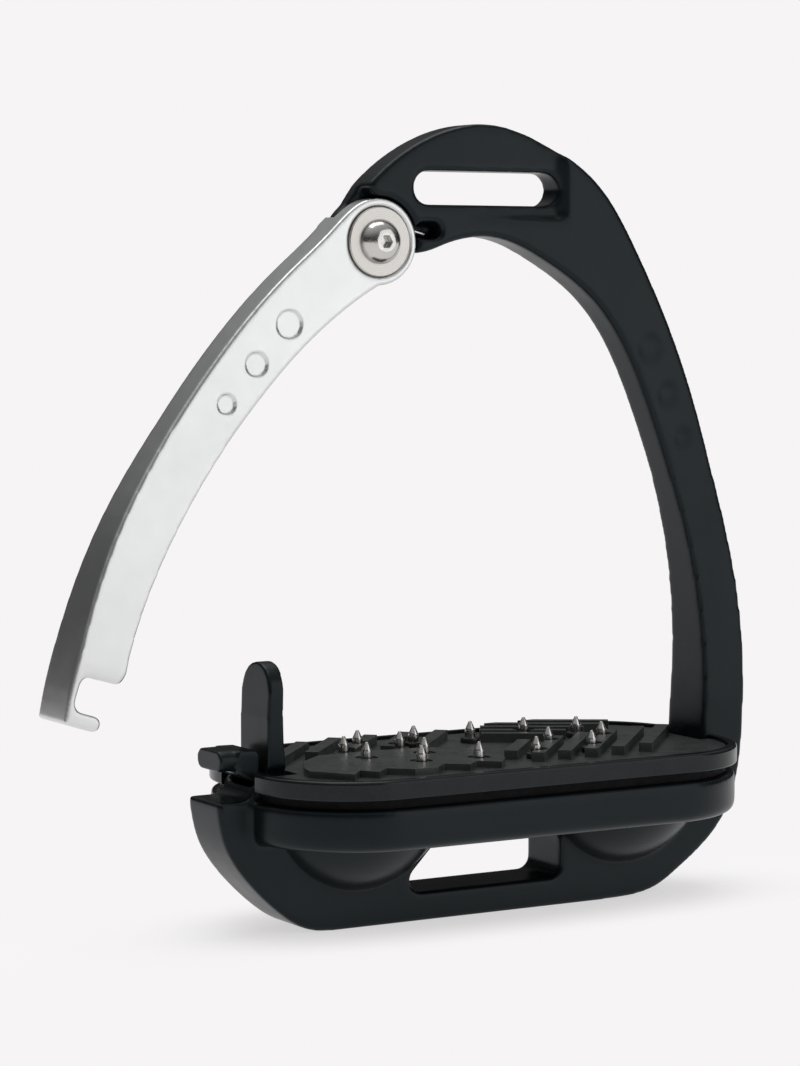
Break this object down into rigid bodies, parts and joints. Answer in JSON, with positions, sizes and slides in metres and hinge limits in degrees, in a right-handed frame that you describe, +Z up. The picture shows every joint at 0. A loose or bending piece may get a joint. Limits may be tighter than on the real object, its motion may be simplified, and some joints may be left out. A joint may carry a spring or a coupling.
{
  "type": "stirrup iron",
  "caption": "Safety stirrup iron with a hinged, spring-loaded outer arm, a thumb release lever and a studded grip tread",
  "frame": {"origin": "Centre of the flat underside of the ring, where the iron stands on a table.", "axes": "+X along the tread towards the closed leg, +Y through the ring away from the screw-head side, +Z up towards the leather slot."},
  "size_m": [0.1654, 0.0596, 0.167],
  "materials": {
    "black_anodised": "satin",
    "silver_anodised": "satin",
    "steel": "brushed",
    "bush_bronze": "satin",
    "black_plastic": "matte",
    "gasket_rubber": "matte",
    "black_painted": "matte"
  },
  "bodies": {
    "frame_body": {"frame": "black_anodised", "hinge_bush": "bush_bronze", "hinge_washer": "steel", "thrust_washer": "black_plastic", "hinge_screw": "steel", "hinge_nut": "steel", "stop_pin": "steel", "hinge_spring": "steel", "lever_pin": "steel", "lever_spring": "steel", "tread_gasket": "gasket_rubber", "tread_tray": "black_anodised", "grip_plate": "black_plastic", "tread_studs": "steel", "stud_collars": "black_painted", "tread_screws": "steel"},
    "arm_body": {"release_arm": "silver_anodised"},
    "lever_body": {"release_lever": "black_anodised"}
  },
  "joints": [
    {"name": "arm_hinge", "type": "hinge", "parent": "frame_body", "child": "arm_body", "pos_m": [-0.0265, 0, 0.1422], "axis": [0, 1, 0], "range_deg": [-18, 10], "stiffness_Nm_per_rad": 0.55},
    {"name": "lever_hinge", "type": "hinge", "parent": "frame_body", "child": "lever_body", "pos_m": [-0.0516, 0, 0.03], "axis": [0, 1, 0], "range_deg": [-5, 0]}
  ]
}
